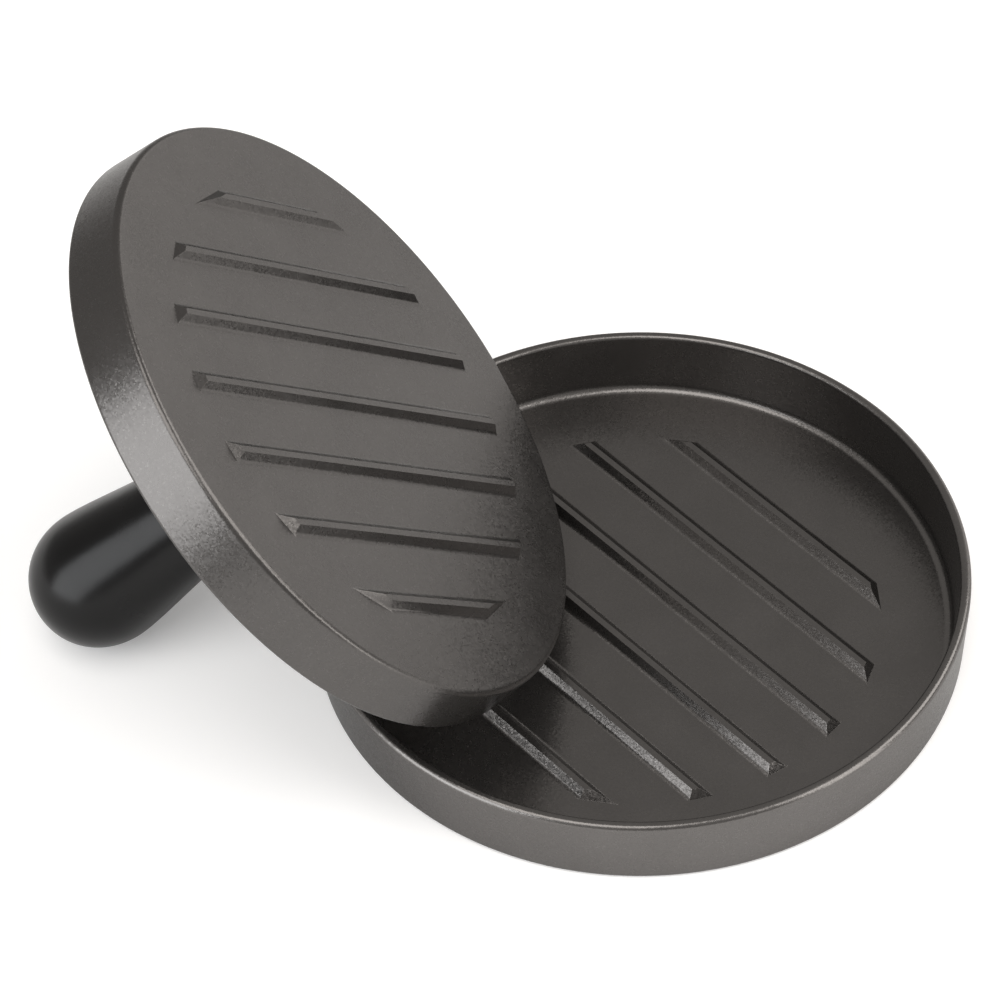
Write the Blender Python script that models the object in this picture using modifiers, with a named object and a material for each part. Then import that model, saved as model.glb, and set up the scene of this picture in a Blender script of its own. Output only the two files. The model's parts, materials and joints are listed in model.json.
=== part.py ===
"""Two-part patty press: a shallow ribbed dish, and a ribbed press plate with a screw-on handle.

Metres, +Z up, origin at the centre of the dish's underside. The press stands tilted in the dish on
the lower edge of its plate, with the knob of its handle beside the dish at table height.
"""

import math

import bmesh
import bpy
from mathutils import Matrix, Vector

MM = 0.001

# Running clearance, contact gap and facet counts
GAP = 0.3 * MM
FIT = 0.05 * MM
WELD = 0.001 * MM
DISC_STEPS = 96
GRIP_STEPS = 48
BORE_STEPS = 40
ARC_STEPS = 3
DOME_STEPS = 7
NECK_STEPS = 8
CREASE = math.radians(35)

# Dish: a shallow casting with a slight draft on its wall
DISH_R = 60.0 * MM
DISH_FOOT_R = 59.4 * MM
DISH_H = 14.7 * MM
DISH_FLOOR = 1.4 * MM
DISH_WALL = 2.0 * MM
DISH_INNER_FOOT_R = 57.3 * MM
DISH_FOOT_ROUND = 1.0 * MM
DISH_RIM_ROUND = 1.0 * MM
DISH_RIM_INNER_ROUND = 0.8 * MM
DISH_FILLET = 1.6 * MM

# Press plate: a shallow pan whose outer wall widens upwards, with a boss for the handle
PLATE_FACE_R = 57.4 * MM
PLATE_TOP_R = 58.1 * MM
PLATE_H = 11.2 * MM
PLATE_WEB = 2.6 * MM
PLATE_WALL = 2.2 * MM
PLATE_FACE_ROUND = 1.1 * MM
PLATE_RIM_ROUND = 0.8 * MM
PLATE_FILLET = 2.0 * MM
BOSS_TOP = 14.0 * MM
BOSS_R = 9.4 * MM
BOSS_FOOT_R = 10.2 * MM
BOSS_CHAMFER = 0.6 * MM
BOSS_HOLE_END = 4.6 * MM

# Grill ribs, raised on both pressing faces, their ends cut along a circle
RIB_FOOT_W = 3.8 * MM
RIB_TOP_W = 1.1 * MM
RIB_RISE = 1.35 * MM
RIB_ROOT = 0.5 * MM
RIB_CIRCLE_R = 44.2 * MM
RIB_END_RUN = 1.0
RIB_BLANK_LENGTH = 2.2 * RIB_CIRCLE_R
DISH_RIBS = 6
DISH_RIB_PITCH = 14.0 * MM
DISH_RIB_ANGLE = math.radians(-52.5)
PLATE_RIBS = 7
PLATE_RIB_PITCH = 13.35 * MM
PLATE_RIB_ANGLE = math.radians(-27.8)

# Handle: stations along the handle's axis, counted from the plate's pressing face
WASHER_T = 1.4 * MM
WASHER_R = 6.8 * MM
WASHER_HOLE_R = 4.2 * MM
WASHER_SLOT = 1.3 * MM
WASHER_SLOT_SLANT = math.radians(25)
GRIP_START = BOSS_TOP + GAP + WASHER_T + GAP
NECK_R = 8.4 * MM
NECK_ROUND = 0.8 * MM
NECK_PULL = 36.0 * MM
BELLY_PULL = 56.0 * MM
BELLY_AT = 62.6 * MM
BELLY_R = 12.8 * MM
GRIP_END = 76.2 * MM
DOME_FULLNESS = 0.58

# Threaded joint between the handle and the boss
THREAD_R = 4.0 * MM
THREAD_ROOT_R = 3.25 * MM
THREAD_PITCH = 1.25 * MM
THREAD_STEPS = 16
HOLE_R = THREAD_R + FIT
HOLE_CHAMFER = 0.6 * MM
STUD_START = 5.2 * MM
STUD_END = 30.6 * MM
STUD_CHAMFER = 0.7 * MM
THREAD_OVERRUN = 1.5 * THREAD_PITCH
INSERT_R = 6.2 * MM
INSERT_LENGTH = 17.0 * MM
INSERT_BORE_END = STUD_END + 2 * GAP
INSERT_TEETH = 30
INSERT_TOOTH = 0.35 * MM
INSERT_GROOVE_W = 2.4 * MM
INSERT_GROOVE_R = 5.3 * MM

# Where the press stands: its face tilts this far above the horizontal, towards +X, and the
# plate's lower edge rests between the tops of two dish ribs, so it sinks a little below them
FACE_TILT = math.radians(40.25)
FACE_CENTRE_X = -49.6 * MM
FACE_CENTRE_Y = 8.0 * MM
EDGE_SINK = 0.1 * MM
EDGE_STAND = DISH_FLOOR + RIB_RISE - EDGE_SINK


# ---- helpers -------------------------------------------------------------------------------


def clear_scene():
    for obj in list(bpy.data.objects):
        bpy.data.objects.remove(obj, do_unlink=True)


def collection(name):
    group = bpy.data.collections.new(name)
    bpy.context.scene.collection.children.link(group)
    return group


def material(name, colour, roughness, metallic):
    mat = bpy.data.materials.new(name)
    mat.use_nodes = True
    shader = mat.node_tree.nodes["Principled BSDF"]
    shader.inputs["Base Color"].default_value = (*colour, 1.0)
    shader.inputs["Roughness"].default_value = roughness
    shader.inputs["Metallic"].default_value = metallic
    mat.diffuse_color = (*colour, 1.0)
    return mat


def coating_material():
    return material("nonstick_coating", (0.115, 0.110, 0.103), 0.48, 0.55)


def grip_material():
    return material("satin_black_plastic", (0.012, 0.012, 0.013), 0.38, 0.0)


def brass_material():
    return material("brass", (0.56, 0.40, 0.16), 0.35, 1.0)


def steel_material(name):
    return material(name, (0.52, 0.52, 0.53), 0.32, 1.0)


def arc(centre_x, centre_z, radius, start_deg, end_deg):
    """Points of a round, from one angle to the other, in the profile's plane."""
    points = []
    for i in range(ARC_STEPS + 1):
        angle = math.radians(start_deg + (end_deg - start_deg) * i / ARC_STEPS)
        points.append((centre_x + radius * math.cos(angle), centre_z + radius * math.sin(angle)))
    return points


def bezier(start, pull_start, pull_end, end, count):
    """Points of a cubic curve, without its first one."""
    points = []
    for i in range(1, count + 1):
        t = i / count
        weights = ((1 - t) ** 3, 3 * t * (1 - t) ** 2, 3 * t * t * (1 - t), t**3)
        knots = (start, pull_start, pull_end, end)
        points.append(tuple(sum(w * k[axis] for w, k in zip(weights, knots)) for axis in (0, 1)))
    return points


def turned(name, profile, steps, group):
    """A solid of revolution about its own Z axis; the profile's points are (radius, height)."""
    mesh = bpy.data.meshes.new(name)
    vertices = [(radius, 0.0, height) for radius, height in profile]
    edges = [(i, i + 1) for i in range(len(profile) - 1)]
    mesh.from_pydata(vertices, edges, [])
    obj = bpy.data.objects.new(name, mesh)
    group.objects.link(obj)
    screw = obj.modifiers.new("turn", "SCREW")
    screw.axis = "Z"
    screw.steps = steps
    screw.render_steps = steps
    screw.use_merge_vertices = True
    screw.merge_threshold = WELD
    return obj


def closed_ring(profile):
    """A profile that doesn't reach the axis, closed on itself."""
    return profile + [profile[0]]


def boolean(obj, cutter, operation):
    cutter.display_type = "WIRE"
    cutter.hide_render = True
    mod = obj.modifiers.new(operation.lower() + "_" + cutter.name, "BOOLEAN")
    mod.operation = operation
    mod.solver = "EXACT"
    mod.object = cutter


def finish(obj, mat):
    """Applies the modifiers, and shades the result smooth with its edges kept."""
    depsgraph = bpy.context.evaluated_depsgraph_get()
    mesh = bpy.data.meshes.new_from_object(obj.evaluated_get(depsgraph))
    mesh.name = obj.name
    obj.modifiers.clear()
    obj.data = mesh
    mesh.materials.clear()
    mesh.materials.append(mat)
    mesh.shade_smooth()
    mesh.set_sharp_from_angle(angle=CREASE)


def extruded(name, outline, length, group):
    """A flat outline with straight sides, extruded evenly both ways along its own Z."""
    curve = bpy.data.curves.new(name, "CURVE")
    curve.dimensions = "2D"
    curve.fill_mode = "BOTH"
    curve.extrude = length / 2
    spline = curve.splines.new("POLY")
    spline.points.add(len(outline) - 1)
    for point, (x, y) in zip(spline.points, outline):
        point.co = (x, y, 0.0, 1.0)
    spline.use_cyclic_u = True
    drawn = bpy.data.objects.new(name + "_outline", curve)
    group.objects.link(drawn)
    depsgraph = bpy.context.evaluated_depsgraph_get()
    mesh = bpy.data.meshes.new_from_object(drawn.evaluated_get(depsgraph))
    mesh.name = name
    bm = bmesh.new()
    bm.from_mesh(mesh)
    bmesh.ops.remove_doubles(bm, verts=bm.verts, dist=WELD)
    bmesh.ops.recalc_face_normals(bm, faces=bm.faces)
    bm.to_mesh(mesh)
    bm.free()
    obj = bpy.data.objects.new(name, mesh)
    obj.matrix_world = drawn.matrix_world
    group.objects.link(obj)
    bpy.data.objects.remove(drawn, do_unlink=True)
    return obj


# ---- grill ribs ----------------------------------------------------------------------------


def rib_bars(name, count, pitch, angle, base_height, up, cutters):
    """Parallel trapezoid bars that rise from a face at base_height; up is +1 or -1."""
    half_foot = RIB_FOOT_W / 2
    half_top = RIB_TOP_W / 2
    outline = [
        (-half_foot, -RIB_ROOT),
        (half_foot, -RIB_ROOT),
        (half_foot, 0.0),
        (half_top, RIB_RISE),
        (-half_top, RIB_RISE),
        (-half_foot, 0.0),
    ]
    bar = extruded(name, outline, RIB_BLANK_LENGTH, cutters)
    along = Vector((math.cos(angle), math.sin(angle), 0.0))
    rise = Vector((0.0, 0.0, up))
    across = rise.cross(along)
    turn = Matrix((across, rise, along)).transposed().to_4x4()
    bm = bmesh.new()
    for i in range(count):
        shift = across * ((i - (count - 1) / 2) * pitch)
        copy = bar.data.copy()
        copy.transform(Matrix.Translation(shift + Vector((0.0, 0.0, base_height))) @ turn)
        bm.from_mesh(copy)
        bpy.data.meshes.remove(copy)
    bm.to_mesh(bar.data)
    bm.free()
    return bar


def rib_end_cone(name, base_height, up, cutters):
    """The cone that cuts the ribs' sloping ends: RIB_CIRCLE_R at the face, narrower above it."""
    reach = 2 * RIB_RISE
    inner_r = RIB_CIRCLE_R - RIB_END_RUN * reach
    outer_r = RIB_CIRCLE_R + RIB_END_RUN * reach
    high = base_height + reach
    low = base_height - reach
    high_r, low_r = (inner_r, outer_r) if up > 0 else (outer_r, inner_r)
    profile = [(0.0, high), (high_r, high), (low_r, low), (0.0, low)]
    return turned(name, profile, DISC_STEPS, cutters)


def add_ribs(obj, count, pitch, angle, base_height, up, cutters):
    bars = rib_bars(obj.name + "_rib_bars", count, pitch, angle, base_height, up, cutters)
    cone = rib_end_cone(obj.name + "_rib_end_cone", base_height, up, cutters)
    boolean(bars, cone, "INTERSECT")
    boolean(obj, bars, "UNION")


# ---- sub-parts -----------------------------------------------------------------------------


def base_dish(parts, cutters):
    rim_inner_r = DISH_R - DISH_WALL
    rim_z = DISH_H - DISH_RIM_ROUND
    inner_rim_z = DISH_H - DISH_RIM_INNER_ROUND
    foot_z = DISH_FLOOR + DISH_FILLET
    profile = [(0.0, DISH_FLOOR)]
    profile += arc(DISH_INNER_FOOT_R - DISH_FILLET, foot_z, DISH_FILLET, -90, 0)
    profile += arc(rim_inner_r + DISH_RIM_INNER_ROUND, inner_rim_z, DISH_RIM_INNER_ROUND, 180, 90)
    profile += arc(DISH_R - DISH_RIM_ROUND, rim_z, DISH_RIM_ROUND, 90, 0)[1:]
    profile += arc(DISH_FOOT_R - DISH_FOOT_ROUND, DISH_FOOT_ROUND, DISH_FOOT_ROUND, 0, -90)
    profile += [(0.0, 0.0)]
    dish = turned("base_dish", profile, DISC_STEPS, parts)
    add_ribs(dish, DISH_RIBS, DISH_RIB_PITCH, DISH_RIB_ANGLE, DISH_FLOOR, 1, cutters)
    return dish


def press_plate(parts, cutters):
    """The plate in its own frame: pressing face at zero height, handle upwards."""
    rim_z = PLATE_H - PLATE_RIM_ROUND
    inner_r = PLATE_TOP_R - PLATE_WALL
    profile = [(0.0, BOSS_TOP)]
    profile += [(BOSS_R - BOSS_CHAMFER, BOSS_TOP), (BOSS_R, BOSS_TOP - BOSS_CHAMFER)]
    profile += arc(BOSS_FOOT_R + PLATE_FILLET, PLATE_WEB + PLATE_FILLET, PLATE_FILLET, 180, 270)
    profile += arc(inner_r - PLATE_FILLET, PLATE_WEB + PLATE_FILLET, PLATE_FILLET, -90, 0)
    profile += arc(inner_r + PLATE_RIM_ROUND, rim_z, PLATE_RIM_ROUND, 180, 90)
    profile += arc(PLATE_TOP_R - PLATE_RIM_ROUND, rim_z, PLATE_RIM_ROUND, 90, 0)
    profile += arc(PLATE_FACE_R - PLATE_FACE_ROUND, PLATE_FACE_ROUND, PLATE_FACE_ROUND, 0, -90)
    profile += [(0.0, 0.0)]
    plate = turned("press_plate", profile, DISC_STEPS, parts)
    add_ribs(plate, PLATE_RIBS, PLATE_RIB_PITCH, PLATE_RIB_ANGLE, 0.0, -1, cutters)
    hole = [
        (0.0, BOSS_TOP + HOLE_CHAMFER),
        (HOLE_R + 2 * HOLE_CHAMFER, BOSS_TOP + HOLE_CHAMFER),
        (HOLE_R, BOSS_TOP - HOLE_CHAMFER),
        (HOLE_R, BOSS_HOLE_END),
        (0.0, BOSS_HOLE_END - HOLE_CHAMFER),
    ]
    boolean(plate, turned("boss_hole", hole, BORE_STEPS, cutters), "DIFFERENCE")
    return plate


def handle_grip(parts):
    """A pear-shaped knob, open at its neck for the threaded insert."""
    pocket_r = INSERT_R + FIT
    pocket_end = GRIP_START + INSERT_LENGTH + GAP
    neck = (NECK_R, GRIP_START + NECK_ROUND)
    belly = (BELLY_R, BELLY_AT)
    tip = (0.0, GRIP_END)
    dome_rise = DOME_FULLNESS * (GRIP_END - BELLY_AT)
    profile = [tip]
    dome_pulls = ((DOME_FULLNESS * BELLY_R, GRIP_END), (BELLY_R, BELLY_AT + dome_rise))
    profile += bezier(tip, *dome_pulls, belly, DOME_STEPS)
    profile += bezier(belly, (BELLY_R, BELLY_PULL), (NECK_R, NECK_PULL), neck, NECK_STEPS)
    profile += arc(NECK_R - NECK_ROUND, GRIP_START + NECK_ROUND, NECK_ROUND, 0, -90)[1:]
    profile += [(pocket_r, GRIP_START), (pocket_r, pocket_end), (0.0, pocket_end)]
    return turned("handle_grip", profile, GRIP_STEPS, parts)


def threaded_insert(parts, cutters):
    """A knurled bush with a locking groove, moulded into the grip's neck."""
    outline = []
    for i in range(2 * INSERT_TEETH):
        angle = math.pi * i / INSERT_TEETH
        radius = INSERT_R - INSERT_TOOTH * (i % 2)
        outline.append((radius * math.cos(angle), radius * math.sin(angle)))
    insert = extruded("threaded_insert", outline, INSERT_LENGTH, parts)
    middle = GRIP_START + INSERT_LENGTH / 2
    insert.data.transform(Matrix.Translation((0.0, 0.0, middle)))
    bore = [
        (0.0, INSERT_BORE_END),
        (HOLE_R, INSERT_BORE_END),
        (HOLE_R, GRIP_START + HOLE_CHAMFER),
        (HOLE_R + 2 * HOLE_CHAMFER, GRIP_START - HOLE_CHAMFER),
        (0.0, GRIP_START - HOLE_CHAMFER),
    ]
    boolean(insert, turned("insert_bore", bore, BORE_STEPS, cutters), "DIFFERENCE")
    half_groove = INSERT_GROOVE_W / 2
    groove = [
        (INSERT_GROOVE_R, middle + half_groove),
        (INSERT_R + FIT, middle + half_groove),
        (INSERT_R + FIT, middle - half_groove),
        (INSERT_GROOVE_R, middle - half_groove),
    ]
    groove_ring = turned("insert_groove", closed_ring(groove), BORE_STEPS, cutters)
    boolean(insert, groove_ring, "DIFFERENCE")
    return insert


def thread_surface(name, turns, group):
    """A helical thread, closed at each end by a fan of faces from the axis."""
    mesh = bpy.data.meshes.new(name)
    root = THREAD_ROOT_R
    profile = [(root, THREAD_PITCH), (THREAD_R, THREAD_PITCH / 2), (root, 0.0)]
    mesh.from_pydata([(radius, 0.0, height) for radius, height in profile], [(0, 1), (1, 2)], [])
    obj = bpy.data.objects.new(name, mesh)
    group.objects.link(obj)
    screw = obj.modifiers.new("thread", "SCREW")
    screw.axis = "Z"
    screw.steps = THREAD_STEPS
    screw.render_steps = THREAD_STEPS
    screw.screw_offset = THREAD_PITCH
    screw.iterations = turns
    screw.use_merge_vertices = True
    screw.merge_threshold = WELD
    depsgraph = bpy.context.evaluated_depsgraph_get()
    swept = bpy.data.meshes.new_from_object(obj.evaluated_get(depsgraph))
    obj.modifiers.clear()
    obj.data = swept
    bm = bmesh.new()
    bm.from_mesh(swept)
    bmesh.ops.remove_doubles(bm, verts=bm.verts, dist=WELD)
    height = (turns + 1) * THREAD_PITCH
    for end_z in (0.0, height):
        rim = [e for e in bm.edges if e.is_boundary and abs(e.verts[0].co.z - end_z) < height / 2]
        centre = bm.verts.new((0.0, 0.0, end_z))
        for edge in rim:
            bm.faces.new((edge.verts[0], edge.verts[1], centre))
    bmesh.ops.recalc_face_normals(bm, faces=bm.faces)
    bm.to_mesh(swept)
    bm.free()
    return obj


def threaded_stud(parts, cutters):
    """A fully threaded stud, its ends chamfered."""
    length = STUD_END - STUD_START
    turns = math.ceil(length / THREAD_PITCH) + 2
    stud = thread_surface("threaded_stud", turns, parts)
    stud.data.transform(Matrix.Translation((0.0, 0.0, STUD_START - THREAD_OVERRUN)))
    ends = [
        (0.0, STUD_END),
        (THREAD_R - STUD_CHAMFER, STUD_END),
        (THREAD_R + FIT, STUD_END - STUD_CHAMFER - FIT),
        (THREAD_R + FIT, STUD_START + STUD_CHAMFER + FIT),
        (THREAD_R - STUD_CHAMFER, STUD_START),
        (0.0, STUD_START),
    ]
    boolean(stud, turned("stud_envelope", ends, BORE_STEPS, cutters), "INTERSECT")
    return stud


def lock_washer(parts, cutters):
    """A split spring washer between the boss and the grip's neck."""
    low = BOSS_TOP + GAP
    ring = [
        (WASHER_R, low + WASHER_T),
        (WASHER_R, low),
        (WASHER_HOLE_R, low),
        (WASHER_HOLE_R, low + WASHER_T),
    ]
    washer = turned("lock_washer", closed_ring(ring), BORE_STEPS, parts)
    bpy.ops.mesh.primitive_cube_add(size=1.0)
    slot = bpy.context.active_object
    slot.name = "washer_slot"
    for group in list(slot.users_collection):
        group.objects.unlink(slot)
    cutters.objects.link(slot)
    slot_turn = Matrix.Rotation(WASHER_SLOT_SLANT, 4, "X")
    slot_size = Matrix.Diagonal((2 * WASHER_R, WASHER_SLOT, 4 * WASHER_T, 1.0))
    slot_place = Matrix.Translation((WASHER_R + FIT, 0.0, low + WASHER_T / 2))
    slot.data.transform(slot_place @ slot_turn @ slot_size)
    boolean(washer, slot, "DIFFERENCE")
    return washer


# ---- assembly ------------------------------------------------------------------------------


def press_frame(parts):
    """The empty that carries the press: its Z axis is the handle's, its origin the face's centre."""
    frame = bpy.data.objects.new("press_frame", None)
    frame.empty_display_size = 20 * MM
    edge_to_centre = (
        math.sin(FACE_TILT) * (PLATE_H - PLATE_RIM_ROUND)
        + math.cos(FACE_TILT) * (PLATE_TOP_R - PLATE_RIM_ROUND)
        + PLATE_RIM_ROUND
    )
    frame.location = (FACE_CENTRE_X, FACE_CENTRE_Y, EDGE_STAND + edge_to_centre)
    frame.rotation_euler = (0.0, -(math.pi / 2 + FACE_TILT), 0.0)
    parts.objects.link(frame)
    return frame


def build():
    clear_scene()
    parts = collection("patty_press")
    cutters = collection("cutters")
    coating = coating_material()
    plate = press_plate(parts, cutters)
    grip = handle_grip(parts)
    insert = threaded_insert(parts, cutters)
    stud = threaded_stud(parts, cutters)
    washer = lock_washer(parts, cutters)
    finish(base_dish(parts, cutters), coating)
    finish(plate, coating)
    finish(grip, grip_material())
    finish(insert, brass_material())
    finish(stud, steel_material("zinc_plated_steel"))
    finish(washer, steel_material("spring_steel"))
    frame = press_frame(parts)
    for piece in (plate, grip, insert, stud, washer):
        piece.parent = frame


build()
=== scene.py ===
"""Looks of the patty press: fine meshes, materials, floor, lights and camera.

Metres, +Z up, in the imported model's own frame. The press (handle, washer and plate) is modelled
upright in its own frame, with the plate's pressing face at zero height and the handle upwards,
and the axis of its screw joint stands it in place.
"""

import json
import math

import bmesh
import bpy
from mathutils import Matrix, Quaternion, Vector


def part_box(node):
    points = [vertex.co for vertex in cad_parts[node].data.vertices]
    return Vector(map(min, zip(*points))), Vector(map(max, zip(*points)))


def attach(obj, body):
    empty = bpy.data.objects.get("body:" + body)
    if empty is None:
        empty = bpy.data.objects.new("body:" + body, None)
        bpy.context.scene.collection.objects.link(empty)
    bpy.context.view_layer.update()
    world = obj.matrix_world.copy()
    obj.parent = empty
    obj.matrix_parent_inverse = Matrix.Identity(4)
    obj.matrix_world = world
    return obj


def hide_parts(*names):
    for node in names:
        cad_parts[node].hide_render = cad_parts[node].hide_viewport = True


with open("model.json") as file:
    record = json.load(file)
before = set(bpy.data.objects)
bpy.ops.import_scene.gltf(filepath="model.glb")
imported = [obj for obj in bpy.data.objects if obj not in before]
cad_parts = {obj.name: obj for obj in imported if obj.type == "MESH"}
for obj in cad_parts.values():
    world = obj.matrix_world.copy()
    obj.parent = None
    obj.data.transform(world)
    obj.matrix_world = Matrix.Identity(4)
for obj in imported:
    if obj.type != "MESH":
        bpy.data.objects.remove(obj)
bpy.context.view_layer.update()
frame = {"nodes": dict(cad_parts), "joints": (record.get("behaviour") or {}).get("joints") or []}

MM = 0.001

# Fineness of the meshes
LATHE_STEPS = 256
GRIP_STEPS = 160
ARC_STEPS = 8
CURVE_STEPS = 28
EDGE_ROUND = 0.25 * MM
EDGE_SEGMENTS = 3
EDGE_ANGLE = math.radians(24)
FLAT_WEIGHT = 90
WELD = 0.002 * MM

# Dish: details that the frame's boxes don't give
DISH_FOOT_DRAFT = 0.6 * MM
DISH_FLOOR = 1.4 * MM
DISH_WALL = 2.0 * MM
DISH_INNER_DRAFT = 0.7 * MM
DISH_FOOT_ROUND = 1.0 * MM
DISH_RIM_ROUND = 1.0 * MM
DISH_RIM_INNER_ROUND = 0.8 * MM
DISH_FILLET = 1.6 * MM

# Press plate
PLATE_DRAFT = 0.7 * MM
PLATE_H = 11.2 * MM
PLATE_WEB = 2.6 * MM
PLATE_WALL = 2.2 * MM
PLATE_FACE_ROUND = 1.1 * MM
PLATE_RIM_ROUND = 0.8 * MM
PLATE_FILLET = 2.0 * MM
BOSS_R = 9.4 * MM
BOSS_FOOT_R = 10.2 * MM
BOSS_CHAMFER = 0.6 * MM
BORE_R = 4.05 * MM
BORE_END = 4.6 * MM
BORE_CHAMFER = 0.6 * MM

# Grill ribs, raised on both pressing faces
RIB_FOOT_W = 3.8 * MM
RIB_TOP_W = 1.1 * MM
RIB_RISE = 1.35 * MM
RIB_ROOT = 0.5 * MM
RIB_SINK = 0.012 * MM
RIB_FILLET = 1.4 * MM
RIB_CIRCLE_R = 44.2 * MM
RIB_END_RUN = 1.0
DISH_RIBS = 6
DISH_RIB_PITCH = 14.0 * MM
DISH_RIB_ANGLE = math.radians(-52.5)
PLATE_RIBS = 7
PLATE_RIB_PITCH = 13.35 * MM
PLATE_RIB_ANGLE = math.radians(-27.8)

# Handle
NECK_R = 8.4 * MM
NECK_ROUND = 0.8 * MM
NECK_PULL = 36.0 * MM
BELLY_PULL = 56.0 * MM
BELLY_AT = 62.6 * MM
DOME_FULLNESS = 0.58
INSERT_R = 6.25 * MM
INSERT_POCKET = 17.3 * MM

# Stud and washer
THREAD_DEPTH = 0.75 * MM
THREAD_PITCH = 1.25 * MM
THREAD_STEPS = 64
THREAD_SAMPLES = 10
STUD_CHAMFER = 0.7 * MM
WASHER_HOLE_R = 4.2 * MM
WASHER_ROUND = 0.18 * MM
WASHER_STEPS = 120
WASHER_SPLIT = 1.3 * MM
WASHER_SLANT = math.radians(25)
WASHER_SPRING = 0.12 * MM

# Nonstick coating. Both castings are coated alike; the two tones are painted light on the dish
# and painted shade on the plate, which only make up for lights that are guessed, and under other
# lights both should be 1.
COAT_COLOUR = (0.130, 0.124, 0.120)
DISH_PAINTED_LIGHT = 1.14
PLATE_PAINTED_SHADE = 0.83
COAT_CLOUD = 14 * MM
COAT_MOTTLE = 0.04
COAT_GRAIN = 0.5 * MM
GRAIN_CONTRAST = 0.05
GRAIN_RELIEF = 0.002 * MM
FLAKE_SIZE = 0.26 * MM
FLAKE_TILT = 0.08
FLAKE_SHARE = 0.1
GLINT_SHADE = 0.1
GLINT_POLISH = 0.04
# Lighter edges of the coating: partly wear of the thin coat, partly a painted highlight
WEAR_AND_HIGHLIGHT_RADIUS = 0.35 * MM
WEAR_AND_HIGHLIGHT_REACH = 0.25
WEAR_AND_HIGHLIGHT_SHADE = 0.22
COAT_ROUGH = (0.26, 0.30)
COAT_METALLIC = 0.95
COAT_GLOSS_TINT = 0.72

# Moulded black plastic
PLASTIC_COLOUR = (0.0012, 0.0011, 0.0012)
PLASTIC_CLOUD = 9 * MM
PLASTIC_MOTTLE = 0.15
PLASTIC_TEXTURE = 0.35 * MM
PLASTIC_WAVE_RELIEF = 0.05 * MM
PLASTIC_TEXTURE_RELIEF = 0.006 * MM
DUST_SIZE = 0.5 * MM
DUST_SHARE = 0.015
DUST_SHADE = 1.2
PLASTIC_ROUGH = (0.23, 0.28)
PLASTIC_GLOSS = 0.28

# Cut metal
TARNISH_SIZE = 3 * MM
MARK_SIZE = 0.12 * MM
MARK_RELIEF = 0.004 * MM
MARK_POLISH = 0.06
MARK_DULLING = 0.08
CUT_EDGE_RADIUS = 0.15 * MM
CUT_EDGE_REACH = 0.2
CUT_EDGE_SHADE = 0.25
EDGE_SAMPLES = 4

# Camera
VIEW_AZIMUTH = math.radians(-2.07)
VIEW_ELEVATION = math.radians(47.77)
VIEW_ROLL = math.radians(2.47)
VIEW_DISTANCE = 0.7723
VIEW_TARGET = Vector((-0.0240, 0.0183, 0.0150))
VIEW_LENS = 151.2
SENSOR = 36.0
CLIP_START = 0.05

# Studio; the paper is lifted only where the camera sees it, and lights nothing by that
FLOOR_SIZE = 12.0
PAPER_ALBEDO = 0.9
PAPER_MOTTLE_SIZE = 60 * MM
PAPER_MOTTLE = 0.015
PAPER_ROUGH = 0.9
PAPER_GLOSS = 0.1
PAPER_LIFT = 0.2
WORLD_GREY = 0.42
WORLD_TINT = (1.0, 0.965, 0.93)
WARM = (1.0, 0.975, 0.95)
COOL = (0.98, 1.0, 1.02)
POWER_PER_RADIANCE = 4


# ---- mesh helpers --------------------------------------------------------------------------


def arc(centre_r, centre_z, radius, start_deg, end_deg):
    """Points of a round in a profile's plane."""
    points = []
    for i in range(ARC_STEPS + 1):
        angle = math.radians(start_deg + (end_deg - start_deg) * i / ARC_STEPS)
        points.append((centre_r + radius * math.cos(angle), centre_z + radius * math.sin(angle)))
    return points


def bezier(start, pull_start, pull_end, end):
    """Points of a cubic curve in a profile's plane, without its first one."""
    points = []
    for i in range(1, CURVE_STEPS + 1):
        t = i / CURVE_STEPS
        weights = ((1 - t) ** 3, 3 * t * (1 - t) ** 2, 3 * t * t * (1 - t), t**3)
        knots = (start, pull_start, pull_end, end)
        points.append(tuple(sum(w * k[axis] for w, k in zip(weights, knots)) for axis in (0, 1)))
    return points


def finish_mesh(bm, name):
    bmesh.ops.recalc_face_normals(bm, faces=bm.faces)
    mesh = bpy.data.meshes.new(name)
    bm.to_mesh(mesh)
    bm.free()
    return mesh


def join_rings(bm, ring, next_ring):
    """Faces between two closed rings; either may be a single point."""
    count = max(len(ring), len(next_ring))
    for i in range(count):
        corners = [
            ring[i % len(ring)],
            ring[(i + 1) % len(ring)],
            next_ring[(i + 1) % len(next_ring)],
            next_ring[i % len(next_ring)],
        ]
        bm.faces.new(list(dict.fromkeys(corners)))


def lathe(name, profile, steps=LATHE_STEPS):
    """A closed solid of revolution; a profile end off the axis is closed by one flat face."""
    bm = bmesh.new()
    rings = []
    for radius, height in profile:
        count = steps if radius > 0 else 1
        ring = []
        for i in range(count):
            turn = 2 * math.pi * i / count
            ring.append(bm.verts.new((radius * math.cos(turn), radius * math.sin(turn), height)))
        rings.append(ring)
    for ring, next_ring in zip(rings, rings[1:]):
        join_rings(bm, ring, next_ring)
    for ring in (rings[0], rings[-1]):
        if len(ring) > 1:
            bm.faces.new(ring)
    return finish_mesh(bm, name)


def new_object(name, mesh):
    obj = bpy.data.objects.new(name, mesh)
    bpy.context.scene.collection.objects.link(obj)
    return obj


def evaluated_mesh(obj):
    """The object's mesh with its modifiers applied, under the object's name."""
    depsgraph = bpy.context.evaluated_depsgraph_get()
    mesh = bpy.data.meshes.new_from_object(obj.evaluated_get(depsgraph))
    obj.modifiers.clear()
    obj.data.name = "unfinished"
    mesh.name = obj.name
    return mesh


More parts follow.
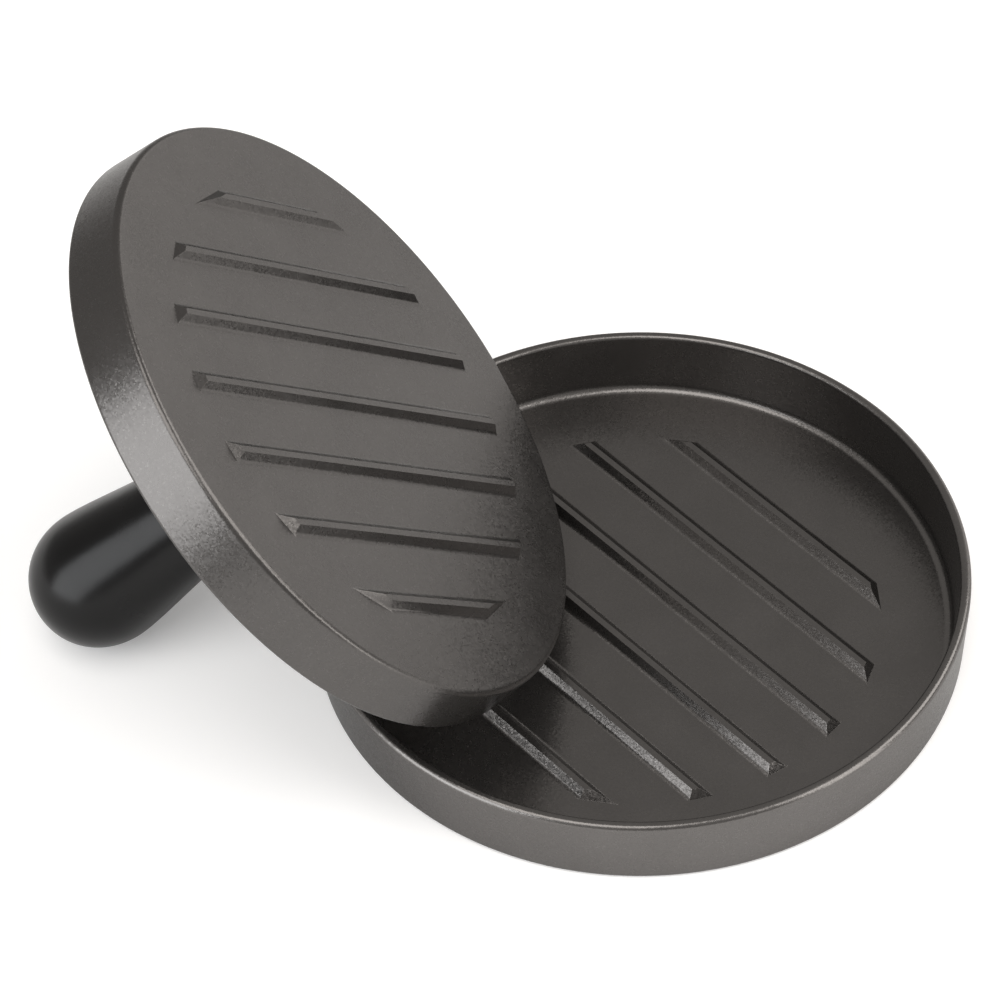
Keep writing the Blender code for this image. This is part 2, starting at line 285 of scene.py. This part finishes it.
def united(mesh, added):
    """The union of two closed meshes, without the slivers that the union leaves."""
    body = new_object(mesh.name, mesh)
    extra = new_object(added.name, added)
    union = body.modifiers.new("union", "BOOLEAN")
    union.operation = "UNION"
    union.solver = "EXACT"
    union.object = extra
    result = evaluated_mesh(body)
    bpy.data.objects.remove(body)
    bpy.data.objects.remove(extra)
    bm = bmesh.new()
    bm.from_mesh(result)
    bmesh.ops.remove_doubles(bm, verts=bm.verts, dist=WELD)
    bmesh.ops.dissolve_degenerate(bm, edges=bm.edges, dist=WELD)
    bm.to_mesh(result)
    bm.free()
    return result


def round_edges(obj):
    """Small rounds on the sharp edges, and shading that keeps the flats flat."""
    bevel = obj.modifiers.new("edge_rounds", "BEVEL")
    bevel.width = EDGE_ROUND
    bevel.segments = EDGE_SEGMENTS
    bevel.limit_method = "ANGLE"
    bevel.angle_limit = EDGE_ANGLE
    bevel.miter_outer = "MITER_ARC"
    obj.data = evaluated_mesh(obj)
    obj.data.shade_smooth()
    shading = obj.modifiers.new("flat_shading", "WEIGHTED_NORMAL")
    shading.mode = "FACE_AREA_WITH_ANGLE"
    shading.weight = FLAT_WEIGHT
    obj.data = evaluated_mesh(obj)


# ---- ribs ----------------------------------------------------------------------------------


def rib(bm, offset):
    """One trapezoid rib along X at a sideways offset, both ends sloping back from the circle."""
    reach = math.sqrt(RIB_CIRCLE_R**2 - offset**2)
    steepness = math.degrees(math.atan2(RIB_RISE, (RIB_FOOT_W - RIB_TOP_W) / 2))
    fillet_w = RIB_FOOT_W / 2 + RIB_FILLET * math.tan(math.radians(steepness / 2))
    half = [(fillet_w, -RIB_ROOT)]
    half += arc(fillet_w, RIB_FILLET - RIB_SINK, RIB_FILLET, -90, -90 - steepness)
    half += [(RIB_TOP_W / 2, RIB_RISE)]
    outline = half + [(-y, z) for y, z in reversed(half)]
    bar = bmesh.new()
    ends = []
    for x in (-2 * RIB_CIRCLE_R, 2 * RIB_CIRCLE_R):
        ends.append([bar.verts.new((x, offset + y, z)) for y, z in outline])
    join_rings(bar, *ends)
    for end in ends:
        bar.faces.new(end)
    for side in (-1, 1):
        everything = bar.verts[:] + bar.edges[:] + bar.faces[:]
        slope = Vector((side * reach, offset, RIB_END_RUN * RIB_CIRCLE_R))
        corner = Vector((side * reach, offset, 0.0))
        cut = bmesh.ops.bisect_plane(
            bar, geom=everything, plane_co=corner, plane_no=slope, clear_outer=True
        )
        edges = [e for e in cut["geom_cut"] if isinstance(e, bmesh.types.BMEdge)]
        bmesh.ops.edgenet_fill(bar, edges=edges)
    bmesh.ops.recalc_face_normals(bar, faces=bar.faces)
    piece = bpy.data.meshes.new("rib")
    bar.to_mesh(piece)
    bar.free()
    bm.from_mesh(piece)
    bpy.data.meshes.remove(piece)


def ribs(name, count, pitch, angle, height, up):
    """Parallel ribs on a face at the given height; up is +1 or -1."""
    bm = bmesh.new()
    for i in range(count):
        rib(bm, (i - (count - 1) / 2) * pitch)
    turn = Matrix.Rotation(angle, 4, "Z")
    if up < 0:
        turn = turn @ Matrix.Rotation(math.pi, 4, "X")
    bmesh.ops.transform(bm, matrix=Matrix.Translation((0, 0, height)) @ turn, verts=bm.verts)
    return finish_mesh(bm, name)


# ---- pieces --------------------------------------------------------------------------------


def press_place():
    """From the press's own frame to the row's frame, by the axis of its screw joint."""
    joint = next(j for j in frame["joints"] if j["name"] == "plate_unscrew")
    up = -Vector(joint["axis"]).normalized()
    side = Vector((0.0, 1.0, 0.0))
    across = side.cross(up)
    place = Matrix((across, side, up)).transposed().to_4x4()
    place.translation = Vector(joint["pos_m"])
    return place


def press_extent(node):
    """(largest radius, lowest height, highest height) of a CAD node in the press's own frame."""
    into_press = press_place().inverted()
    points = [into_press @ v.co for v in frame["nodes"][node].data.vertices]
    heights = [p.z for p in points]
    return max(math.hypot(p.x, p.y) for p in points), min(heights), max(heights)


def dish_mesh():
    low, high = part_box("base_dish")
    outer_r = (high.x - low.x) / 2
    foot_r = outer_r - DISH_FOOT_DRAFT
    rim_inner_r = outer_r - DISH_WALL
    inner_foot_r = rim_inner_r - DISH_INNER_DRAFT
    rim_z = high.z - DISH_RIM_ROUND
    inner_rim_z = high.z - DISH_RIM_INNER_ROUND
    profile = arc(inner_foot_r - DISH_FILLET, DISH_FLOOR + DISH_FILLET, DISH_FILLET, -90, 0)
    profile += arc(rim_inner_r + DISH_RIM_INNER_ROUND, inner_rim_z, DISH_RIM_INNER_ROUND, 180, 90)
    profile += arc(outer_r - DISH_RIM_ROUND, rim_z, DISH_RIM_ROUND, 90, 0)[1:]
    profile += arc(foot_r - DISH_FOOT_ROUND, DISH_FOOT_ROUND, DISH_FOOT_ROUND, 0, -90)
    body = lathe("base_dish_cast", profile)
    raised = ribs("dish_ribs", DISH_RIBS, DISH_RIB_PITCH, DISH_RIB_ANGLE, DISH_FLOOR, 1)
    return united(body, raised)


def plate_mesh():
    top_r, _, boss_top = press_extent("press_plate")
    face_r = top_r - PLATE_DRAFT
    inner_r = top_r - PLATE_WALL
    rim_z = PLATE_H - PLATE_RIM_ROUND
    profile = [(0.0, BORE_END - BORE_CHAMFER), (BORE_R, BORE_END)]
    profile += [(BORE_R, boss_top - BORE_CHAMFER), (BORE_R + BORE_CHAMFER, boss_top)]
    profile += [(BOSS_R - BOSS_CHAMFER, boss_top), (BOSS_R, boss_top - BOSS_CHAMFER)]
    profile += arc(BOSS_FOOT_R + PLATE_FILLET, PLATE_WEB + PLATE_FILLET, PLATE_FILLET, 180, 270)
    profile += arc(inner_r - PLATE_FILLET, PLATE_WEB + PLATE_FILLET, PLATE_FILLET, -90, 0)
    profile += arc(inner_r + PLATE_RIM_ROUND, rim_z, PLATE_RIM_ROUND, 180, 90)
    profile += arc(top_r - PLATE_RIM_ROUND, rim_z, PLATE_RIM_ROUND, 90, 0)
    profile += arc(face_r - PLATE_FACE_ROUND, PLATE_FACE_ROUND, PLATE_FACE_ROUND, 0, -90)
    body = lathe("press_plate_cast", profile)
    raised = ribs("plate_ribs", PLATE_RIBS, PLATE_RIB_PITCH, PLATE_RIB_ANGLE, 0.0, -1)
    return united(body, raised)


def grip_mesh():
    belly_r, neck_z, tip_z = press_extent("handle_grip")
    pocket_z = neck_z + INSERT_POCKET
    neck = (NECK_R, neck_z + NECK_ROUND)
    belly = (belly_r, BELLY_AT)
    tip = (0.0, tip_z)
    dome_rise = DOME_FULLNESS * (tip_z - BELLY_AT)
    profile = [tip]
    profile += bezier(
        tip, (DOME_FULLNESS * belly_r, tip_z), (belly_r, BELLY_AT + dome_rise), belly
    )
    profile += bezier(belly, (belly_r, BELLY_PULL), (NECK_R, NECK_PULL), neck)
    profile += arc(NECK_R - NECK_ROUND, neck_z + NECK_ROUND, NECK_ROUND, 0, -90)[1:]
    profile += [(INSERT_R, neck_z), (INSERT_R, pocket_z), (0.0, pocket_z)]
    return lathe("handle_grip_moulded", profile, GRIP_STEPS)


def stud_mesh():
    """A helical thread with chamfered ends; its rows follow the helix."""
    thread_r, low, high = press_extent("threaded_stud")
    turns = math.ceil((high - low) / THREAD_PITCH) + 1
    bm = bmesh.new()
    rows = []
    for i in range((turns + 1) * THREAD_SAMPLES + 1):
        row = []
        for k in range(THREAD_STEPS + 1):
            climb = i / THREAD_SAMPLES - 1 + k / THREAD_STEPS
            flank = abs((i % THREAD_SAMPLES) / THREAD_SAMPLES - 0.5) * 2
            height = min(max(low + climb * THREAD_PITCH, low), high)
            from_end = min(height - low, high - height)
            crest = thread_r - max(STUD_CHAMFER - from_end, 0.0)
            radius = min(thread_r - THREAD_DEPTH * flank, crest)
            turn = 2 * math.pi * k / THREAD_STEPS
            row.append(bm.verts.new((radius * math.cos(turn), radius * math.sin(turn), height)))
        rows.append(row)
    for row, next_row in zip(rows, rows[1:]):
        for k in range(THREAD_STEPS):
            bm.faces.new((row[k], row[k + 1], next_row[k + 1], next_row[k]))
    bmesh.ops.remove_doubles(bm, verts=bm.verts, dist=WELD)
    bmesh.ops.dissolve_degenerate(bm, edges=bm.edges, dist=WELD)
    bmesh.ops.holes_fill(bm, edges=[e for e in bm.edges if e.is_boundary], sides=0)
    return finish_mesh(bm, "threaded_stud_cut")


def washer_mesh():
    """A split ring of rounded square section, its two ends sprung slightly apart."""
    outer_r, low, high = press_extent("lock_washer")
    middle = (low + high) / 2
    half_w = (outer_r - WASHER_HOLE_R) / 2 - WASHER_ROUND
    half_h = (high - low) / 2 - WASHER_ROUND
    centre_r = (outer_r + WASHER_HOLE_R) / 2
    section = arc(centre_r + half_w, half_h, WASHER_ROUND, 0, 90)
    section += arc(centre_r - half_w, half_h, WASHER_ROUND, 90, 180)
    section += arc(centre_r - half_w, -half_h, WASHER_ROUND, 180, 270)
    section += arc(centre_r + half_w, -half_h, WASHER_ROUND, 270, 360)
    bm = bmesh.new()
    rings = []
    for i in range(WASHER_STEPS + 1):
        along = i / WASHER_STEPS
        ring = []
        for radius, height in section:
            split = WASHER_SPLIT / radius
            slant = height * math.tan(WASHER_SLANT) / radius
            turn = split / 2 + slant + (2 * math.pi - split) * along
            rise = middle + height + WASHER_SPRING * (2 * along - 1)
            ring.append(bm.verts.new((radius * math.cos(turn), radius * math.sin(turn), rise)))
        rings.append(ring)
    for ring, next_ring in zip(rings, rings[1:]):
        join_rings(bm, ring, next_ring)
    bm.faces.new(rings[0])
    bm.faces.new(rings[-1])
    return finish_mesh(bm, "lock_washer_spring")


def place_piece(mesh, node, body, mat, in_press):
    """Stands a fine mesh in for its CAD node."""
    if in_press:
        mesh.transform(press_place())
    obj = new_object(mesh.name, mesh)
    round_edges(obj)
    obj.data.materials.clear()
    obj.data.materials.append(mat)
    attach(obj, body)
    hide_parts(node)


# ---- materials -----------------------------------------------------------------------------


def add_node(tree, kind, inputs=None, **settings):
    """A shader node with its settings, and its inputs set to values or linked to sockets."""
    node = tree.nodes.new(kind)
    for name, value in settings.items():
        setattr(node, name, value)
    for name, value in (inputs or {}).items():
        if isinstance(value, bpy.types.NodeSocket):
            tree.links.new(value, node.inputs[name])
        else:
            node.inputs[name].default_value = value
    return node


def new_material(name):
    mat = bpy.data.materials.new(name)
    mat.use_nodes = True
    tree = mat.node_tree
    return mat, tree, tree.nodes["Principled BSDF"]


def object_place(tree):
    return add_node(tree, "ShaderNodeTexCoord").outputs["Object"]


def mottle(tree, value, low, high):
    """Noise spread over the given range; noise seldom leaves its middle part."""
    return remap(tree, value, 0.3, 0.7, low, high)


def scaled(tree, value, factor):
    return maths(tree, "MULTIPLY", value, factor)


def noise(tree, place, feature, detail=2.0, roughness=0.5):
    """Noise from 0 to 1 whose features are about the given length."""
    inputs = {"Vector": place, "Scale": 1 / feature, "Detail": detail, "Roughness": roughness}
    return add_node(tree, "ShaderNodeTexNoise", inputs).outputs["Fac"]


def cells(tree, place, size):
    """A random colour for each small cell."""
    inputs = {"Vector": place, "Scale": 1 / size}
    return add_node(tree, "ShaderNodeTexVoronoi", inputs).outputs["Color"]


def remap(tree, value, low, high, to_low, to_high):
    inputs = {
        "Value": value, "From Min": low, "From Max": high, "To Min": to_low, "To Max": to_high
    }
    return add_node(tree, "ShaderNodeMapRange", inputs).outputs["Result"]


def maths(tree, operation, first, second):
    node = add_node(tree, "ShaderNodeMath", operation=operation)
    for socket, value in zip(node.inputs, (first, second)):
        if isinstance(value, bpy.types.NodeSocket):
            tree.links.new(value, socket)
        else:
            socket.default_value = value
    return node.outputs[0]


def scaled_colour(tree, colour, factor):
    """A colour times a number."""
    node = add_node(tree, "ShaderNodeVectorMath", operation="SCALE")
    node.inputs[0].default_value = colour
    tree.links.new(factor, node.inputs["Scale"])
    return node.outputs[0]


def bumps(tree, layers):
    """Surface normal of stacked bumps; each layer is (height from 0 to 1, depth in metres)."""
    normal = None
    for height, depth in layers:
        inputs = {"Height": height, "Distance": depth, "Strength": 1.0}
        if normal is not None:
            inputs["Normal"] = normal
        normal = add_node(tree, "ShaderNodeBump", inputs).outputs["Normal"]
    return normal


def edge_mask(tree, radius, reach):
    """1 on edges within the radius, 0 on flats, by how far a rounded normal turns away."""
    geometry = add_node(tree, "ShaderNodeNewGeometry")
    rounded = add_node(tree, "ShaderNodeBevel", {"Radius": radius}, samples=EDGE_SAMPLES)
    facing = add_node(tree, "ShaderNodeVectorMath", operation="DOT_PRODUCT")
    tree.links.new(geometry.outputs["Normal"], facing.inputs[0])
    tree.links.new(rounded.outputs["Normal"], facing.inputs[1])
    return remap(tree, facing.outputs["Value"], 1.0, 1.0 - reach, 0.0, 1.0)


def flecked_normal(tree, normal, colour, tilt):
    """Tilts the surface differently in each cell, as flakes in a coating lie."""
    centred = add_node(tree, "ShaderNodeVectorMath", operation="SUBTRACT")
    tree.links.new(colour, centred.inputs[0])
    centred.inputs[1].default_value = (0.5, 0.5, 0.5)
    tilted = add_node(tree, "ShaderNodeVectorMath", operation="MULTIPLY_ADD")
    tree.links.new(centred.outputs[0], tilted.inputs[0])
    tilted.inputs[1].default_value = (tilt, tilt, tilt)
    tree.links.new(normal, tilted.inputs[2])
    unit = add_node(tree, "ShaderNodeVectorMath", operation="NORMALIZE")
    tree.links.new(tilted.outputs[0], unit.inputs[0])
    return unit.outputs[0]


def coating(name, painted_light_scale):
    """Baked nonstick coating: dark warm grey with metal flakes, grain and a soft sheen."""
    mat, tree, shader = new_material(name)
    place = object_place(tree)
    cloud = noise(tree, place, COAT_CLOUD, 3.0, 0.6)
    grain = noise(tree, place, COAT_GRAIN, 2.0, 0.6)
    flakes = cells(tree, place, FLAKE_SIZE)
    flake_pick = add_node(tree, "ShaderNodeSeparateColor", {"Color": flakes})
    glint = remap(tree, flake_pick.outputs[0], 1.0 - FLAKE_SHARE, 1.0, 0.0, 1.0)
    wear_and_highlight = edge_mask(tree, WEAR_AND_HIGHLIGHT_RADIUS, WEAR_AND_HIGHLIGHT_REACH)
    # The colour is scaled per piece: painted light on the dish, painted shade on the plate
    shade = mottle(tree, cloud, (1 - COAT_MOTTLE) * painted_light_scale, (1 + COAT_MOTTLE) * painted_light_scale)
    grain_shade = remap(tree, grain, 0.25, 0.75, 1 - GRAIN_CONTRAST, 1 + GRAIN_CONTRAST)
    shade = maths(tree, "MULTIPLY", shade, grain_shade)
    shade = maths(tree, "ADD", shade, scaled(tree, glint, GLINT_SHADE))
    # Edges lightened partly as wear of the thin coat and partly as a painted highlight
    shade = maths(tree, "ADD", shade, scaled(tree, wear_and_highlight, WEAR_AND_HIGHLIGHT_SHADE))
    rough = mottle(tree, cloud, *COAT_ROUGH)
    rough = maths(tree, "SUBTRACT", rough, scaled(tree, glint, GLINT_POLISH))
    normal = bumps(tree, ((grain, GRAIN_RELIEF),))
    normal = flecked_normal(tree, normal, flakes, FLAKE_TILT)
    tree.links.new(scaled_colour(tree, COAT_COLOUR, shade), shader.inputs["Base Color"])
    tree.links.new(rough, shader.inputs["Roughness"])
    tree.links.new(normal, shader.inputs["Normal"])
    shader.inputs["Metallic"].default_value = COAT_METALLIC
    shader.inputs["Specular Tint"].default_value = (*[COAT_GLOSS_TINT] * 3, 1.0)
    return mat


def black_plastic():
    """Satin black moulded plastic with a faint spark-eroded texture."""
    mat, tree, shader = new_material("satin_black_plastic")
    place = object_place(tree)
    cloud = noise(tree, place, PLASTIC_CLOUD, 3.0, 0.6)
    texture = noise(tree, place, PLASTIC_TEXTURE, 2.0, 0.6)
    dust = cells(tree, place, DUST_SIZE)
    dust_pick = add_node(tree, "ShaderNodeSeparateColor", {"Color": dust})
    speck = remap(tree, dust_pick.outputs[0], 1.0 - DUST_SHARE, 1.0, 0.0, 1.0)
    shade = mottle(tree, cloud, 1 - PLASTIC_MOTTLE, 1 + PLASTIC_MOTTLE)
    shade = maths(tree, "ADD", shade, scaled(tree, speck, DUST_SHADE))
    rough = mottle(tree, cloud, *PLASTIC_ROUGH)
    relief = ((cloud, PLASTIC_WAVE_RELIEF), (texture, PLASTIC_TEXTURE_RELIEF))
    tree.links.new(scaled_colour(tree, PLASTIC_COLOUR, shade), shader.inputs["Base Color"])
    tree.links.new(rough, shader.inputs["Roughness"])
    tree.links.new(bumps(tree, relief), shader.inputs["Normal"])
    shader.inputs["Specular IOR Level"].default_value = PLASTIC_GLOSS
    return mat


def bare_metal(name, colour, roughness, tarnish):
    """Cut metal: fine tool marks, patches of tarnish and brighter edges."""
    mat, tree, shader = new_material(name)
    place = object_place(tree)
    patches = noise(tree, place, TARNISH_SIZE, 4.0, 0.65)
    marks = noise(tree, place, MARK_SIZE, 2.0, 0.5)
    bright = edge_mask(tree, CUT_EDGE_RADIUS, CUT_EDGE_REACH)
    shade = mottle(tree, patches, 1 - tarnish, 1.0)
    shade = maths(tree, "ADD", shade, scaled(tree, bright, CUT_EDGE_SHADE))
    rough = remap(tree, marks, 0.25, 0.75, roughness - MARK_POLISH, roughness + MARK_DULLING)
    tree.links.new(scaled_colour(tree, colour, shade), shader.inputs["Base Color"])
    tree.links.new(rough, shader.inputs["Roughness"])
    tree.links.new(bumps(tree, ((marks, MARK_RELIEF),)), shader.inputs["Normal"])
    shader.inputs["Metallic"].default_value = 1.0
    return mat


def floor_paper():
    """Matt white paper with the faintest mottling, lifted a little where the camera sees it."""
    mat, tree, shader = new_material("studio_paper")
    place = object_place(tree)
    cloud = noise(tree, place, PAPER_MOTTLE_SIZE, 3.0)
    shade = mottle(tree, cloud, 1 - PAPER_MOTTLE, 1.0)
    tree.links.new(scaled_colour(tree, [PAPER_ALBEDO] * 3, shade), shader.inputs["Base Color"])
    shader.inputs["Roughness"].default_value = PAPER_ROUGH
    shader.inputs["Specular IOR Level"].default_value = PAPER_GLOSS
    seen = add_node(tree, "ShaderNodeLightPath").outputs["Is Camera Ray"]
    tree.links.new(scaled(tree, seen, PAPER_LIFT), shader.inputs["Emission Strength"])
    shader.inputs["Emission Color"].default_value = (1.0, 1.0, 1.0, 1.0)
    return mat


# ---- stage ---------------------------------------------------------------------------------


def direction(azimuth, elevation):
    """Unit vector towards an azimuth, counted from +X to +Y, and an elevation, in degrees."""
    turn = math.radians(azimuth)
    rise = math.radians(elevation)
    flat = math.cos(rise)
    return Vector((math.cos(turn) * flat, math.sin(turn) * flat, math.sin(rise)))


def softbox(name, place, size, radiance, colour):
    """A rectangular light facing the object; its place is azimuth, elevation and distance."""
    azimuth, elevation, distance = place
    width, height = size
    data = bpy.data.lights.new(name, "AREA")
    data.shape = "RECTANGLE"
    data.color = colour
    data.size = width
    data.size_y = height
    data.energy = POWER_PER_RADIANCE * radiance * width * height
    light = bpy.data.objects.new(name, data)
    back = direction(azimuth, elevation)
    light.location = VIEW_TARGET + distance * back
    light.rotation_mode = "QUATERNION"
    light.rotation_quaternion = (-back).to_track_quat("-Z", "Y")
    bpy.context.scene.collection.objects.link(light)


def studio():
    """A paper floor, an even grey surround and five soft lights."""
    bm = bmesh.new()
    bmesh.ops.create_grid(bm, x_segments=1, y_segments=1, size=FLOOR_SIZE / 2)
    floor = new_object("studio_floor", finish_mesh(bm, "studio_floor"))
    floor.data.materials.append(floor_paper())
    world = bpy.data.worlds.new("studio")
    world.use_nodes = True
    background = world.node_tree.nodes["Background"]
    background.inputs["Color"].default_value = (*WORLD_TINT, 1.0)
    background.inputs["Strength"].default_value = WORLD_GREY
    bpy.context.scene.world = world
    softbox("left_softbox", (-149, 18, 0.9), (0.7, 0.72), 2.75, COOL)
    softbox("right_softbox", (-32, 30, 0.9), (0.36, 1.05), 2.4, WARM)
    softbox("key_softbox", (-125, 68, 1.4), (1.0, 1.0), 2.2, WARM)
    softbox("far_softbox", (12, 40, 1.2), (0.8, 0.8), 2.2, WARM)
    softbox("low_softbox", (46, 9, 1.2), (0.9, 0.3), 0.95, WARM)


def camera():
    """The camera looks at the target from its azimuth and elevation, rolled a little."""
    flat = math.cos(VIEW_ELEVATION)
    along = -math.cos(VIEW_AZIMUTH) * flat
    back = Vector((math.sin(VIEW_AZIMUTH) * flat, along, math.sin(VIEW_ELEVATION)))
    data = bpy.data.cameras.new("camera")
    data.lens = VIEW_LENS
    data.sensor_width = SENSOR
    data.clip_start = CLIP_START
    data.clip_end = 2 * FLOOR_SIZE
    cam = bpy.data.objects.new("camera", data)
    cam.location = VIEW_TARGET + VIEW_DISTANCE * back
    cam.rotation_mode = "QUATERNION"
    roll = Quaternion((0.0, 0.0, 1.0), -VIEW_ROLL)
    cam.rotation_quaternion = (-back).to_track_quat("-Z", "Y") @ roll
    bpy.context.scene.collection.objects.link(cam)
    bpy.context.scene.camera = cam


def dress_node(node, mat):
    """A CAD node that's shown as it is takes a fine material."""
    obj = frame["nodes"][node]
    obj.data.materials.clear()
    obj.data.materials.append(mat)


def build():
    # One coating in two copies: painted light on the dish, painted shade on the plate
    dish_coat = coating("dish_nonstick_coating", DISH_PAINTED_LIGHT)
    plate_coat = coating("plate_nonstick_coating", PLATE_PAINTED_SHADE)
    zinc = bare_metal("zinc_plated_steel", (0.55, 0.56, 0.58), 0.32, 0.2)
    spring_steel = bare_metal("spring_steel", (0.36, 0.35, 0.34), 0.38, 0.25)
    brass = bare_metal("brass", (0.62, 0.44, 0.17), 0.34, 0.25)
    place_piece(dish_mesh(), "base_dish", "dish", dish_coat, False)
    place_piece(plate_mesh(), "press_plate", "plate", plate_coat, True)
    place_piece(grip_mesh(), "handle_grip", "handle", black_plastic(), True)
    place_piece(stud_mesh(), "threaded_stud", "handle", zinc, True)
    place_piece(washer_mesh(), "lock_washer", "washer", spring_steel, True)
    dress_node("threaded_insert", brass)
    studio()
    camera()
    bpy.context.scene.view_settings.view_transform = "Standard"


build()
